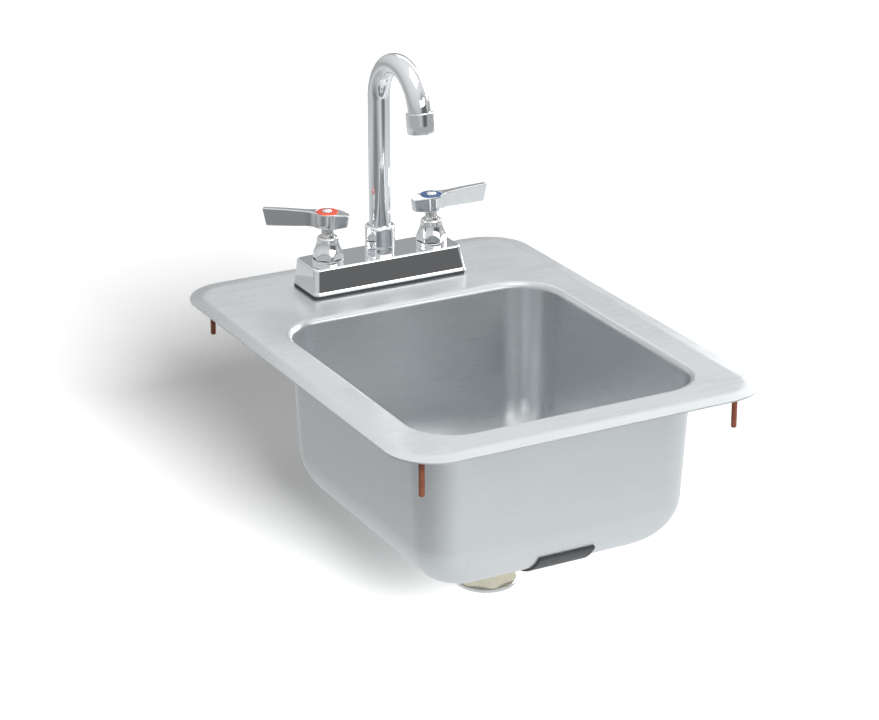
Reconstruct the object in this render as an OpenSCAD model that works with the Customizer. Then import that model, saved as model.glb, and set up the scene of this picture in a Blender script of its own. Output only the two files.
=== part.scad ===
// Drop-in hand sink: one drawn bowl in a self-rimming deck, with a 4 in centreset faucet,
// two quarter-turn levers, a gooseneck spout and a lift-out basket drain. Millimetres.
// Origin: centre of the rim, on the countertop plane. +X right, +Y to the faucet, +Z up.

/* [Rim and deck] */
// Overall width of the rim, left to right
rim_w = 330.2; // [320:0.1:345]
// Overall length of the rim, front to back
rim_l = 441.3; // [436:0.1:460]
// Radius of the rim's outer corners
rim_r = 41; // [34:1:48]
// Width of the sloping band along the rim's edge
bevel_w = 12; // [8:0.5:13]
// Width of the flat lip that rests on the countertop
lip_w = 2; // [1:0.5:4]
// Height of the deck's top above the countertop
deck_z = 2.4; // [1.8:0.1:4]
// Thickness of the stainless sheet
sheet = 1.2; // [0.9:0.1:1.5]

/* [Bowl] */
// Outside width of the bowl at the deck
bowl_w = 253.2; // [246:0.1:258]
// Outside length of the bowl at the deck
bowl_l = 276; // [268:0.5:280]
// Distance from the rim's centre forward to the bowl's centre
bowl_dy = 41.7; // [38:0.1:44]
// Outside depth of the bowl below the countertop
bowl_h = 148.9; // [135:0.1:160]
// Vertical corner radius of the bowl, outside
bowl_r = 38.8; // [34:0.1:44]
// Radius between the walls and the floor, outside
floor_bend = 49.5; // [40:0.5:52]
// Corner radius where the bend meets the floor
floor_r = 12; // [8:1:20]
// Lean of the walls from upright, in degrees
draft = 3.2; // [2:0.1:4]
// Radius of the rolled edge between deck and bowl, top side
roll_r = 5.4; // [4:0.2:7]

/* [Fasteners and pad] */
// Half the spacing of the weld studs, left to right
stud_dx = 141.5; // [138:0.5:146]
// Half the spacing of the weld studs, front to back
stud_dy = 194; // [188:0.5:200]
// Radius of the stud's thread
stud_r = 2.4; // [2:0.1:3]
// Reach of the studs below the countertop
stud_reach = 35; // [25:1:45]
// Width of the sound pad
pad_w = 51.5; // [40:0.5:60]
// Sideways position of the sound pad's centre
pad_x = 4.3; // [-10:0.1:10]
// Thickness of the sound pad
pad_t = 2.2; // [1.5:0.1:3]

/* [Drain] */
// Depth of the recess the drain flange sits in
recess = 3; // [2.5:0.1:4]
// Radius of the drain flange
flange_r = 57; // [55:0.5:58]
// Outside radius of the drain cup
cup_r = 42.6; // [41:0.1:43]
// Radius of the threaded outlet under the cup
outlet_r = 21.9; // [21.6:0.1:22]
// Radius of the opening for the tailpiece
tail_r = 19.4; // [19:0.1:19.6]

/* [Faucet] */
// Sideways position of the faucet on its deck
faucet_x = 4.5; // [-5:0.1:5]
// Distance of the faucet's axis behind the rim's centre
faucet_y = 159.6; // [156:0.1:162]
// Spacing between the two handles
handle_c = 101.6; // [100:0.1:103]
// Length of the faucet base at its foot
base_l = 149.2; // [146:0.2:152]
// Depth of the faucet base at its foot
base_d = 46.4; // [44:0.2:50]
// Height of the base's top above the countertop
base_top = 26.9; // [26:0.1:28]
// Reach of the inlet shanks below the countertop
shank_reach = 48; // [40:1:60]

/* [Spout] */
// Outside radius of the gooseneck tube
tube_r = 9.525; // [9.4:0.005:9.55]
// Wall thickness of the gooseneck tube
tube_t = 1.2; // [1:0.1:1.5]
// Radius of the gooseneck's bend, to the tube's centre
arch_r = 37.6; // [34:0.1:45]
// Height at which the bend begins
arch_z = 167.4; // [150:0.1:200]
// Angle the bend sweeps
arch_sweep = 171; // [165:1:180]

/* [Levers] */
// Length of a lever from its axis to its tip
lever_l = 57.2; // [50:0.2:62]
// Direction of the hot lever when closed, from +X
hot_dir = 142; // [130:1:180]
// Direction of the cold lever when closed, from +X
cold_dir = 4; // [0:1:30]

/* [Hidden] */
$fn = 64;
arc_n = 8;
hot_x = faucet_x - handle_c / 2;
cold_x = faucet_x + handle_c / 2;
floor_z = -bowl_h + sheet;
seat_z = floor_z - recess;
drain_y = -bowl_dy;
// Centre of the rolled edge, as inset from the bowl's outer outline and height
roll_in = sheet - roll_r;
roll_z = deck_z - roll_r;
// Centre of the bend at the floor
bend_z = -bowl_h + floor_bend;
bend_sum = roll_r + floor_bend - sheet;
wall_run = (roll_z - bend_z + bend_sum * sin(draft)) / cos(draft);
bend_in = roll_in + bend_sum * cos(draft) + wall_run * sin(draft);
foot_in = bend_in - floor_bend * cos(draft);
steel = [0.76, 0.77, 0.78];
chrome = [0.86, 0.88, 0.9];
brass = [0.8, 0.66, 0.36];
black = [0.1, 0.1, 0.11];

// ---------- general shapes ----------

// Points of a rounded rectangle, counter-clockwise from above
function ring_points(hx, hy, r, cy, z) = [
  for (q = [0:3], k = [0:arc_n])
    let (sx = (q == 0 || q == 3) ? 1 : -1, sy = q < 2 ? 1 : -1, a = 90 * (q + k / arc_n))
      [sx * (hx - r) + r * cos(a), cy + sy * (hy - r) + r * sin(a), z]
];

// Skins between neighbouring rings; a looped stack closes on its first ring
function skin_faces(m, n, looped) = [
  for (i = [0 : looped ? m - 1 : m - 2], j = [0 : n - 1], s = [0, 1])
    let (i2 = (i + 1) % m, j2 = (j + 1) % n)
      s == 0 ? [i * n + j, i2 * n + j, i2 * n + j2] : [i * n + j, i2 * n + j2, i * n + j2]
];

// Solid between rings that runs round and closes on itself, like a sheet with two sides
module looped_stack(rings) {
  n = 4 * (arc_n + 1);
  points = [for (g = rings) each ring_points(g[0], g[1], g[2], g[3], g[4])];
  polyhedron(points, skin_faces(len(rings), n, true), convexity = 8);
}

// Solid block through rings listed from the top down, closed at both ends
module capped_stack(rings) {
  n = 4 * (arc_n + 1);
  m = len(rings);
  points = [for (g = rings) each ring_points(g[0], g[1], g[2], g[3], g[4])];
  top = [[for (j = [n - 1 : -1 : 0]) j]];
  foot = [[for (j = [0 : n - 1]) (m - 1) * n + j]];
  sides = [for (f = skin_faces(m, n, false)) [f[0], f[2], f[1]]];
  polyhedron(points, concat(top, foot, sides), convexity = 4);
}

// Flat rounded rectangle with true corner arcs
module round_plate(w, l, r) {
  square([w - 2 * r, l], center = true);
  square([w, l - 2 * r], center = true);
  for (x = [-1, 1], y = [-1, 1])
    translate([x * (w / 2 - r), y * (l / 2 - r)]) circle(r = r);
}

// Plain ring from a lower to an upper height
module washer(r_in, r_out, z0, z1) {
  translate([0, 0, z0]) difference() {
    cylinder(r = r_out, h = z1 - z0);
    translate([0, 0, -1]) cylinder(r = r_in, h = z1 - z0 + 2);
  }
}

// Hexagon bar with turned corners
module turned_hex(corner_r, turn_r, z0, z1, turn) {
  translate([0, 0, z0]) intersection() {
    rotate(turn) cylinder(r = corner_r, h = z1 - z0, $fn = 6);
    cylinder(r = turn_r, h = z1 - z0);
  }
}

// Places its children on both handle axes
module at_handles() {
  for (x = [hot_x, cold_x]) translate([x, faucet_y, 0]) children();
}

module at_spout() { translate([faucet_x, faucet_y, 0]) children(); }

module at_drain() { translate([0, drain_y, 0]) children(); }

// Moves to the end of the gooseneck, with -Z running out of the spout
module at_outlet() {
  translate([faucet_x, faucet_y - arch_r, arch_z])
    rotate([arch_sweep - 180, 0, 0]) translate([0, -arch_r, 0]) children();
}

// ---------- sink ----------

function rim_ring(inset, z) = [rim_w / 2 - inset, rim_l / 2 - inset, rim_r - inset, 0, z];
function bowl_ring(inset, r, z) = [bowl_w / 2 - inset, bowl_l / 2 - inset, r, -bowl_dy, z];
function round_ring(r, z) = [r + 0.3, r + 0.3, r, drain_y, z];
// Rolled edge at angle a; side is the roll's radius on that face of the sheet
function roll_ring(a, side) = let (i = roll_in + side * cos(a))
  bowl_ring(i, bowl_r - i, roll_z + side * sin(a));
// Bend at the floor at angle a; side is the bend's radius on that face of the sheet
function bend_ring(a, side) = let (
    i = bend_in + side * cos(a), k = (bend_in - i) / (side * cos(draft)),
    wall_corner = bowl_r - foot_in - (floor_bend - side))
  bowl_ring(i, floor_r + (wall_corner - floor_r) * k, bend_z + side * sin(a));

// Flat frame with a sloping band round it, up to where the edge starts to roll down
module sink_deck() {
  color(steel) difference() {
    looped_stack([
      rim_ring(0, sheet), rim_ring(bevel_w, deck_z), roll_ring(90, roll_r),
      roll_ring(90, roll_r - sheet), rim_ring(bevel_w, deck_z - sheet), rim_ring(lip_w, 0), rim_ring(0, 0)
    ]);
    for (x = [-1, 1]) translate([x * handle_c / 2, faucet_y, -5]) cylinder(r = 16, h = 12);
  }
}

// Rolled edge, walls, bend and floor, with the recess for the drain
module bowl_skin() {
  under = floor_bend;
  over = floor_bend - sheet;
  looped_stack(concat(
    [for (k = [0:4]) roll_ring(90 - (90 - draft) * k / 4, roll_r)],
    [for (k = [0:8]) bend_ring(180 + draft + (90 - draft) * k / 8, over)],
    [round_ring(60, floor_z), round_ring(57.6, seat_z), round_ring(30, seat_z)],
    [round_ring(30, seat_z - sheet), round_ring(57.6, seat_z - sheet), round_ring(60, floor_z - sheet)],
    [for (k = [8:-1:0]) bend_ring(180 + draft + (90 - draft) * k / 8, under)],
    [for (k = [4:-1:0]) roll_ring(90 - (90 - draft) * k / 4, roll_r - sheet)]
  ));
}

module sink_bowl() {
  color(steel) difference() {
    bowl_skin();
    at_drain() translate([0, 0, seat_z - 5]) cylinder(r = 44.45, h = 10);
  }
}

module weld_studs() {
  tip = 1.2;
  color([0.45, 0.24, 0.18]) for (x = [-stud_dx, stud_dx], y = [-stud_dy, stud_dy])
    translate([x, y, 0]) {
      translate([0, 0, deck_z - sheet - 0.9]) cylinder(r = 3.4, h = 0.9);
      translate([0, 0, tip - stud_reach]) cylinder(r = stud_r, h = stud_reach - tip + 0.5);
      translate([0, 0, -stud_reach]) cylinder(r1 = stud_r - 0.7, r2 = stud_r, h = tip);
    }
}

// Outline of the pad, in length and height, following the front bend of the bowl
function pad_arc(r, from, to) = [for (k = [0:14]) let (a = from + (to - from) * k / 14)
  [-bowl_dy - bowl_l / 2 + bend_in + r * cos(a), bend_z + r * sin(a)]];

module sound_pad() {
  inner = floor_bend + 0.05;
  outer = floor_bend + pad_t;
  tail_y = drain_y - 62;
  color(black) translate([pad_x - pad_w / 2, 0, 0]) rotate([90, 0, 90]) linear_extrude(pad_w)
    polygon(concat(
      pad_arc(inner, 212.5, 270), [[tail_y, -bowl_h - 0.05], [tail_y, -bowl_h - pad_t]],
      pad_arc(outer, 270, 212.5)
    ));
}

// ---------- drain ----------

module drain_body() {
  f = seat_z + 0.8;
  color(steel) at_drain() {
    rotate_extrude() polygon([
      [flange_r, f], [44, f], [cup_r, f - 1.6], [cup_r, -178], [25, -182.6], [outlet_r, -184.5],
      [outlet_r, -197], [tail_r + 0.7, -197], [tail_r + 0.7, -183.2], [22.5, -181.4],
      [cup_r - 1.6, -176.6], [cup_r - 1.6, f - 2.2], [cup_r, f + 0.6], [46, f + 1.3], [55.5, f + 1.5],
      [flange_r, f + 1.2]
    ]);
    difference() {
      union() {
        for (a = [0, 90]) rotate(a) translate([-21, -1, -186.4]) cube([42, 2, 3]);
        translate([0, 0, -186.4]) cylinder(r = 5, h = 3);
      }
      translate([0, 0, -190]) cylinder(r = 2.1, h = 10);
    }
  }
}

module drain_gasket() { color([0.85, 0.84, 0.8]) at_drain() washer(46, 56.4, seat_z, seat_z + 0.8); }

module drain_washer() {
  z = seat_z - sheet;
  color(black) at_drain() washer(43.2, 52, z - 3, z);
}

module friction_ring() {
  z = seat_z - sheet - 3;
  color([0.72, 0.66, 0.52]) at_drain() washer(43, 51.4, z - 0.8, z);
}

module drain_locknut() {
  z = seat_z - sheet - 3.8;
  color([0.7, 0.7, 0.68]) at_drain() difference() {
    union() {
      washer(cup_r + 0.05, 49, z - 8, z);
      washer(48.5, 53, z - 3, z);
      for (k = [0:7]) rotate(k * 45 + 22.5) translate([48, -3, z - 8]) cube([5.4, 6, 8]);
    }
    translate([0, 0, z - 9]) cylinder(r = cup_r + 0.05, h = 12);
  }
}

module outlet_nut() {
  color([0.78, 0.72, 0.52]) at_drain() difference() {
    union() {
      turned_hex(26.4, 25.3, -200.6, -187, 17);
      translate([0, 0, -187]) cylinder(r1 = 24.2, r2 = 23.9, h = 1.4);
    }
    translate([0, 0, -199.2]) cylinder(r = outlet_r + 0.05, h = 20);
    translate([0, 0, -202]) cylinder(r = tail_r + 1.1, h = 10);
  }
}

module outlet_ring() {
  color([0.86, 0.87, 0.86]) at_drain() {
    washer(tail_r, 26, -204, -200.65);
    washer(tail_r, tail_r + 1, -201, -199);
  }
}

module slip_washer() { color([0.9, 0.9, 0.88]) at_drain() washer(tail_r, outlet_r - 0.1, -199, -197.05); }

module basket_cup() {
  top = -151.2;
  foot = -176;
  color(steel) at_drain() difference() {
    rotate_extrude() polygon([
      [40.5, top], [40.5, top - 0.8], [37.4, top - 0.8], [37.4, foot], [2.05, foot],
      [2.05, foot + 0.8], [36.6, foot + 0.8], [36.6, top]
    ]);
    for (k = [0:19]) rotate(k * 18) translate([30, -1.2, foot + 5]) cube([12, 2.4, 14]);
    for (k = [0:15]) rotate(k * 22.5) translate([31.5, 0, foot - 1]) cylinder(r = 1.6, h = 3);
  }
}

module basket_seal() {
  color(black) at_drain() rotate_extrude() polygon([
    [2.05, -176], [26.6, -176], [27.6, -177.4], [26.4, -178.9], [22, -179.8], [2.05, -179.8]
  ]);
}

module basket_knob() {
  color(chrome) at_drain() {
    rotate_extrude() polygon([
      [0, -189.5], [1.2, -189.5], [2, -188], [2, -175.2], [4.4, -175.1], [4.4, -173.5], [3, -172.4],
      [3, -152], [5, -148.6], [8.6, -146.2], [9.4, -144.4], [8.4, -142.4], [4.5, -141.2], [0, -140.9]
    ]);
  }
}

// ---------- faucet body ----------

module faucet_gasket() {
  color(black) translate([faucet_x, faucet_y, deck_z]) difference() {
    linear_extrude(2.4) round_plate(base_l, base_d, 5.4);
    for (x = [-1, 1]) translate([x * handle_c / 2, 0, -1]) cylinder(r = 11.5, h = 5);
  }
}

// The ends and the front lean in, and the back stands nearly upright
function base_ring(wall, end, front, back, r, z) = [
  base_l / 2 - end - wall, base_d / 2 - (front + back) / 2 - wall * 0.62, r, (front - back) / 2, z
];

module base_block(wall, top, foot) {
  capped_stack([
    base_ring(wall, 4.7, 7, 2, 4.2, top), base_ring(wall, 3.7, 6, 1, 4.5, top - 0.35),
    base_ring(wall, 3.2, 5.5, 0.5, 4.7, top - 1.2), base_ring(wall, 0.7, 1, 0.3, 5.2, foot + 2.8),
    base_ring(wall, 0.2, 0.2, 0.2, 5.3, foot + 1.1), base_ring(wall, 0.2, 0.2, 0.2, 5.3, foot)
  ]);
}

module faucet_base() {
  foot = deck_z + 2.4;
  color(chrome) translate([faucet_x, faucet_y, 0]) difference() {
    union() {
      difference() {
        base_block(0, base_top, foot);
        translate([0, 0, -0.5]) base_block(3.2, base_top - 3, foot);
      }
      for (x = [-1, 0, 1]) translate([x * handle_c / 2, 0, foot + 0.3])
        cylinder(r = 13, h = base_top - foot - 1.5);
    }
    for (x = [-1, 1]) translate([x * handle_c / 2, 0, 0]) {
      translate([0, 0, 12]) cylinder(r = 9.6, h = 20);
      translate([0, 0, 3]) cylinder(r = 10.25, h = 8.5);
      cylinder(r = 6, h = 20);
    }
    translate([0, 0, 9]) cylinder(r = 10.45, h = 25);
    for (x = [-1, 1]) translate([x * 25.4, 0, 16.5]) rotate([0, 90, 0])
      cylinder(r = 3.8, h = 33, center = true);
  }
}

module faucet_waterway() {
  reach = handle_c / 2 - 26;
  color(brass) translate([faucet_x, faucet_y, 16.5]) for (x = [-1, 1])
    translate([x * handle_c / 4, 0, 0]) rotate([0, 90, 0]) difference() {
      cylinder(r = 5.4, h = reach, center = true);
      cylinder(r = 3.8, h = reach + 2, center = true);
    }
}

// The nut's thread stops above the supply thread, which is a little larger
module inlet_shanks() {
  color(brass) at_handles() difference() {
    union() {
      translate([0, 0, -shank_reach]) cylinder(r = 10.4, h = shank_reach - 9.8);
      translate([0, 0, -10]) cylinder(r = 10.2, h = 21.5);
    }
    translate([0, 0, -shank_reach - 1]) cylinder(r = 7, h = shank_reach + 14);
  }
}

module shank_washers() { color([0.75, 0.75, 0.73]) at_handles() washer(11, 21, -1.2, deck_z - sheet); }

module shank_locknuts() {
  color([0.82, 0.83, 0.84]) at_handles() difference() {
    turned_hex(17.5, 17, -9.6, -1.2, 10);
    translate([0, 0, -12]) cylinder(r = 10.25, h = 14);
  }
}

module bonnet_rings() { color(chrome) at_handles() washer(9.7, 13.5, base_top, 30.2); }

module bonnet_seals() { color(black) at_handles() washer(9.7, 13, 30.2, 30.7); }

// Bell of turned hexagon stock, with room inside for the cartridge
module bonnet(turn) {
  difference() {
    intersection() {
      rotate_extrude() polygon([
        [0, 30.7], [13.2, 30.7], [13.6, 31.1], [13.6, 33.9], [12.7, 34.9], [11.8, 36], [10.9, 37.4],
        [10.2, 39.2], [9.7, 41.6], [9.4, 44.4], [9.3, 48.6], [9, 49.4], [8.4, 49.9], [0, 49.9]
      ]);
      rotate(turn) translate([0, 0, 30]) cylinder(r = 13.9, h = 21, $fn = 6);
    }
    translate([0, 0, 30]) cylinder(r = 9.65, h = 6.6);
    translate([0, 0, 30]) cylinder(r = 7.6, h = 18);
    translate([0, 0, 40]) cylinder(r = 5.4, h = 12);
  }
}

module hot_bonnet() { color(chrome) translate([hot_x, faucet_y, 0]) bonnet(20.8); }
module cold_bonnet() { color(chrome) translate([cold_x, faucet_y, 0]) bonnet(36.5); }

module valve_cartridges() {
  color([0.83, 0.8, 0.7]) at_handles() difference() {
    union() {
      translate([0, 0, 12]) cylinder(r = 9.5, h = 24.4);
      translate([0, 0, 30]) cylinder(r = 7.5, h = 17.8);
      translate([0, 0, 40]) cylinder(r = 5.3, h = 17.9);
      translate([0, 0, 50.1]) cylinder(r1 = 6.3, r2 = 5.9, h = 1.6);
    }
    translate([0, 0, 11]) cylinder(r = 7.4, h = 9.2);
    translate([0, 0, 11]) cylinder(r = 4.05, h = 50);
    translate([0, 0, 44]) cylinder(r = 5.65, h = 1.7);
  }
}

module stem_seals() {
  color(black) at_handles() translate([0, 0, 44.85]) rotate_extrude() translate([4.85, 0]) circle(r = 0.78);
}

module fixed_discs() {
  color([0.92, 0.92, 0.9]) at_handles() translate([0, 0, 12.05]) difference() {
    cylinder(r = 7.3, h = 2.8);
    for (x = [-1, 1]) translate([x * 3.7, 0, -1]) cylinder(r = 2.2, h = 5);
  }
}

// ---------- handles ----------

module moving_disc() {
  translate([0, 0, 15.2]) difference() {
    cylinder(r = 7.1, h = 2.9);
    for (y = [-1, 1]) translate([0, y * 3.7, -1]) cylinder(r = 2.2, h = 5);
  }
}

module stem() {
  difference() {
    union() {
      translate([0, 0, 18.15]) cylinder(r = 7.1, h = 1.7);
      translate([0, 0, 18.15]) cylinder(r = 4, h = 49.85);
    }
    translate([0, 0, 60]) cylinder(r = 2.02, h = 12);
  }
}

// Lever casting, pointing along +X: round hub, deep thin blade and a short blunt tail
module lever() {
  difference() {
    union() {
      rotate_extrude() polygon([
        [0, 58.6], [7.6, 58.6], [8.9, 59.2], [9.6, 60.4], [9.8, 62], [9.95, 71.2], [9.5, 72], [0, 72]
      ]);
      intersection() {
        rotate([90, 0, 0]) linear_extrude(30, center = true) polygon([
          [-17.8, 59.3], [-8, 59], [10, 59.4], [34, 58], [lever_l - 3.3, 57.4], [lever_l, 72.6],
          [lever_l - 0.8, 73.1], [36, 73.1], [20, 72.7], [9, 72.5], [-9, 72], [-19.6, 70.3]
        ]);
        linear_extrude(90) polygon([
          [-19.8, -2.9], [-9, -8.6], [0, -9.4], [9, -6.6], [13, -4.6], [18, -3.6], [36, -3], [lever_l + 1, -2.6],
          [lever_l + 1, 2.6], [36, 3], [18, 3.6], [13, 4.6], [9, 6.6], [0, 9.4], [-9, 8.6], [-19.8, 2.9]
        ]);
      }
    }
    translate([0, 0, 72]) cylinder(r = 9.6, h = 5);
    translate([0, 0, 50]) cylinder(r = 4.02, h = 18.1);
    translate([0, 0, 60]) cylinder(r = 2.1, h = 15);
  }
}

module index_ring() { washer(4.5, 9.45, 72, 72.7); }

module handle_screw() {
  difference() {
    rotate_extrude() polygon([
      [0, 61], [2, 61], [2, 72], [4.3, 72], [4.3, 73.1], [3.4, 74.1], [1.8, 74.6], [0, 74.7]
    ]);
    for (a = [20, 110]) rotate(a) translate([-2.1, -0.4, 73.5]) cube([4.2, 0.8, 3]);
  }
}

module at_hot() { translate([hot_x, faucet_y, 0]) rotate(hot_dir) children(); }
module at_cold() { translate([cold_x, faucet_y, 0]) rotate(cold_dir) children(); }

module hot_disc() { color([0.92, 0.92, 0.9]) at_hot() moving_disc(); }
module hot_stem() { color(brass) at_hot() stem(); }
module hot_handle() { color(chrome) at_hot() lever(); }
module hot_index() { color([0.93, 0.27, 0.2]) at_hot() index_ring(); }
module hot_screw() { color(chrome) at_hot() handle_screw(); }
module cold_disc() { color([0.92, 0.92, 0.9]) at_cold() moving_disc(); }
module cold_stem() { color(brass) at_cold() stem(); }
module cold_handle() { color(chrome) at_cold() lever(); }
module cold_index() { color([0.2, 0.38, 0.62]) at_cold() index_ring(); }
module cold_screw() { color(chrome) at_cold() handle_screw(); }

// ---------- spout ----------

module spout_hub() {
  color(chrome) at_spout() difference() {
    union() {
      translate([0, 0, 9.5]) cylinder(r = 10.4, h = 20);
      turned_hex(14.6, 13.7, base_top, 29.2, 56.4);
      translate([0, 0, 29.2]) cylinder(r = 13.1, h = 0.5);
      turned_hex(14.6, 13.7, 29.7, 34.2, 56.4);
      translate([0, 0, 34.2]) cylinder(r = 12.8, h = 0.7);
      translate([0, 0, 34]) cylinder(r = 12.2, h = 12);
    }
    translate([0, 0, 30.6]) cylinder(r = tube_r + 0.075, h = 20);
    translate([0, 0, 8]) cylinder(r = 7.4, h = 30);
    translate([0, 0, 38]) cylinder(r = 11.35, h = 1.9);
  }
}

module spout_nut() {
  color(chrome) at_spout() difference() {
    intersection() {
      turned_hex(14.9, 13.85, 34.95, 52.9, 56.4);
      rotate_extrude() polygon([
        [0, 34.95], [13.3, 34.95], [13.85, 35.5], [13.85, 50.9], [12.6, 52.3], [11.4, 52.9], [0, 52.9]
      ]);
    }
    translate([0, 0, 30]) cylinder(r = 12.25, h = 21.1);
    translate([0, 0, 40]) cylinder(r = 9.9, h = 20);
  }
}

module spout_seal() {
  color(black) at_spout() translate([0, 0, 38.95]) rotate_extrude() translate([10.45, 0]) circle(r = 0.88);
}

module spout_bearing() {
  color([0.9, 0.9, 0.88]) at_spout() washer(tube_r + 0.075, 12.15, 48.95, 51.05);
}

// Gooseneck: upright riser, bend over to the front, and a short end inside the aerator
module goose(r) {
  at_spout() translate([0, 0, 31]) cylinder(r = r, h = arch_z - 31);
  at_spout() translate([0, 0, arch_z - 1]) cylinder(r = r - 0.01, h = 1.3);
  translate([faucet_x, faucet_y - arch_r, arch_z]) rotate([90, 0, 90])
    rotate_extrude(angle = arch_sweep) translate([arch_r, 0]) circle(r = r);
  at_outlet() translate([0, 0, -6]) cylinder(r = r - 0.01, h = 6.3);
}

module spout_tube() {
  color(chrome) difference() {
    goose(tube_r);
    union() {
      goose(tube_r - tube_t);
      at_spout() translate([0, 0, 30]) cylinder(r = tube_r - tube_t, h = 2);
      at_outlet() translate([0, 0, -8]) cylinder(r = tube_r - tube_t, h = 3);
    }
  }
}

module spout_retainer() { color(brass) at_spout() washer(tube_r, 11.8, 46.4, 48.6); }

module aerator_housing() {
  color(chrome) at_outlet() rotate_extrude() polygon([
    [tube_r + 0.05, 0], [11.3, 0], [11.65, -0.4], [11.65, -12], [11.3, -16.6], [10.6, -17.6], [9.6, -17.8],
    [8.3, -17.8], [8.3, -15.6], [8.9, -15.6], [8.9, -6.2], [tube_r + 0.05, -6.2]
  ]);
}

module aerator_washer() { color(black) at_outlet() washer(6, 8.85, -7.6, -6.25); }

module aerator_screen() {
  color([0.3, 0.3, 0.31]) at_outlet() difference() {
    union() {
      translate([0, 0, -15.5]) cylinder(r = 8.85, h = 7.8);
      translate([0, 0, -16.8]) cylinder(r = 8.2, h = 1.4);
    }
    translate([0, 0, -14.4]) cylinder(r = 7.4, h = 8);
    for (k = [0:5]) rotate(k * 60) translate([3, 0, -18]) cylinder(r = 0.8, h = 5);
    for (k = [0:11]) rotate(k * 30) translate([5.8, 0, -18]) cylinder(r = 0.8, h = 5);
    translate([0, 0, -18]) cylinder(r = 0.8, h = 5);
  }
}

sink_deck();
sink_bowl();
weld_studs();
sound_pad();
drain_body();
drain_gasket();
drain_washer();
friction_ring();
drain_locknut();
outlet_nut();
outlet_ring();
slip_washer();
basket_cup();
basket_seal();
basket_knob();
faucet_gasket();
faucet_base();
faucet_waterway();
inlet_shanks();
shank_washers();
shank_locknuts();
bonnet_rings();
bonnet_seals();
hot_bonnet();
cold_bonnet();
valve_cartridges();
stem_seals();
fixed_discs();
hot_disc();
hot_stem();
hot_handle();
hot_index();
hot_screw();
cold_disc();
cold_stem();
cold_handle();
cold_index();
cold_screw();
spout_hub();
spout_nut();
spout_seal();
spout_bearing();
spout_tube();
spout_retainer();
aerator_housing();
aerator_washer();
aerator_screen();
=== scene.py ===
"""Drop-in hand sink with a gooseneck faucet: the visible surfaces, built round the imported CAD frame.

Lengths are millimetres inside the shape functions and become metres when a piece is made.
"""

import math

import bmesh
import bpy
import numpy as np
from mathutils import Matrix, Vector


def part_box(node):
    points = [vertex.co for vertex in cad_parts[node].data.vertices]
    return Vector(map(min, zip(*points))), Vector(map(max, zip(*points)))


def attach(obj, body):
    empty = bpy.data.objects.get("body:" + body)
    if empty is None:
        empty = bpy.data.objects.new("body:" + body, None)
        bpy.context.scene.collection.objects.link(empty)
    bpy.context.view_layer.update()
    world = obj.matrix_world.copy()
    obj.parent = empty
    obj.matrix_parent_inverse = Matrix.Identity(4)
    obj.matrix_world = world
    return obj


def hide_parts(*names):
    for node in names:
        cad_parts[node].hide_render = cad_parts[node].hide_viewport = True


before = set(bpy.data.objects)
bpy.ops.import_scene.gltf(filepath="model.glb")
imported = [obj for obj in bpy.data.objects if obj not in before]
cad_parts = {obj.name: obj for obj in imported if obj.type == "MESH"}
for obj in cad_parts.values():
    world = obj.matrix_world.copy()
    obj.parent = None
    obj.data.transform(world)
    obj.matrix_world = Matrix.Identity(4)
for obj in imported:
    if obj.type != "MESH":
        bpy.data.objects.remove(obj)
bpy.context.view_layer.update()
MM = 0.001
TAU = 2 * math.pi


def middle(node):
    """Centre of a CAD node's box, in millimetres."""
    low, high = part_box(node)
    return [(a + b) / 2 / MM for a, b in zip(low, high)]


# Places that the CAD frame gives
HOT = middle("hot_index")[:2]
COLD = middle("cold_index")[:2]
SPOUT = middle("spout_nut")[:2]
DRAIN = middle("outlet_ring")[:2]

# Sizes shared with the CAD source
RIM_W, RIM_L, RIM_R, BEVEL, LIP = 330.2, 441.3, 41.0, 12.0, 2.0
DECK_Z, SHEET = 2.4, 1.2
BOWL_W, BOWL_L, BOWL_H, BOWL_R = 253.2, 276.0, 148.9, 38.8
BEND_R, FLOOR_R, ROLL_R = 49.5, 12.0, 5.4
DRAFT = math.radians(3.2)
BOWL_Y = DRAIN[1]
FLOOR_Z = SHEET - BOWL_H
SEAT_Z = FLOOR_Z - 3.0
FLOOR_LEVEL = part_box("outlet_ring")[0].z
HANDLE_X = 50.8  # half of the faucet's 4 in handle spacing
FAUCET_HOLE_R = 16
STUD_X, STUD_Y, STUD_R = 141.5, 194, 2.4

# The photograph's view, in metres and degrees
CAMERA_PLACE = (-1.0480, -1.9148, 0.8486)
CAMERA_AZIMUTH, CAMERA_ELEVATION, CAMERA_ROLL = -28.18, 21.66, -0.07
CAMERA_LENS = 115.28
STAGE_REACH = 14.0

# Dim spots of the mirrored floor: place, inner and outer radius, share of light left
CARDS = [
    ((-0.85, -0.28, 0), 0.25, 0.75, 0.34),
    ((-0.47, -0.75, 0), 0.10, 0.35, 0.85),
    ((-0.45, 0.30, 0), 0.25, 0.65, 0.55),
    ((0.50, -1.20, 0), 0.35, 0.65, 0.3),
]
# Dim spots of the studio, in the same form, with directions for places
DIM_WALLS = [
    ((0.44, -0.89, 0.05), 0.35, 0.7, 0.23),
    ((0.44, 0.82, 0.33), 0.12, 0.4, 0.55),
]
STEEL_DARK = (0.60, 0.62, 0.63)
STEEL_PALE = (0.70, 0.72, 0.73)


# ---------- camera, stage and light ----------


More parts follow.
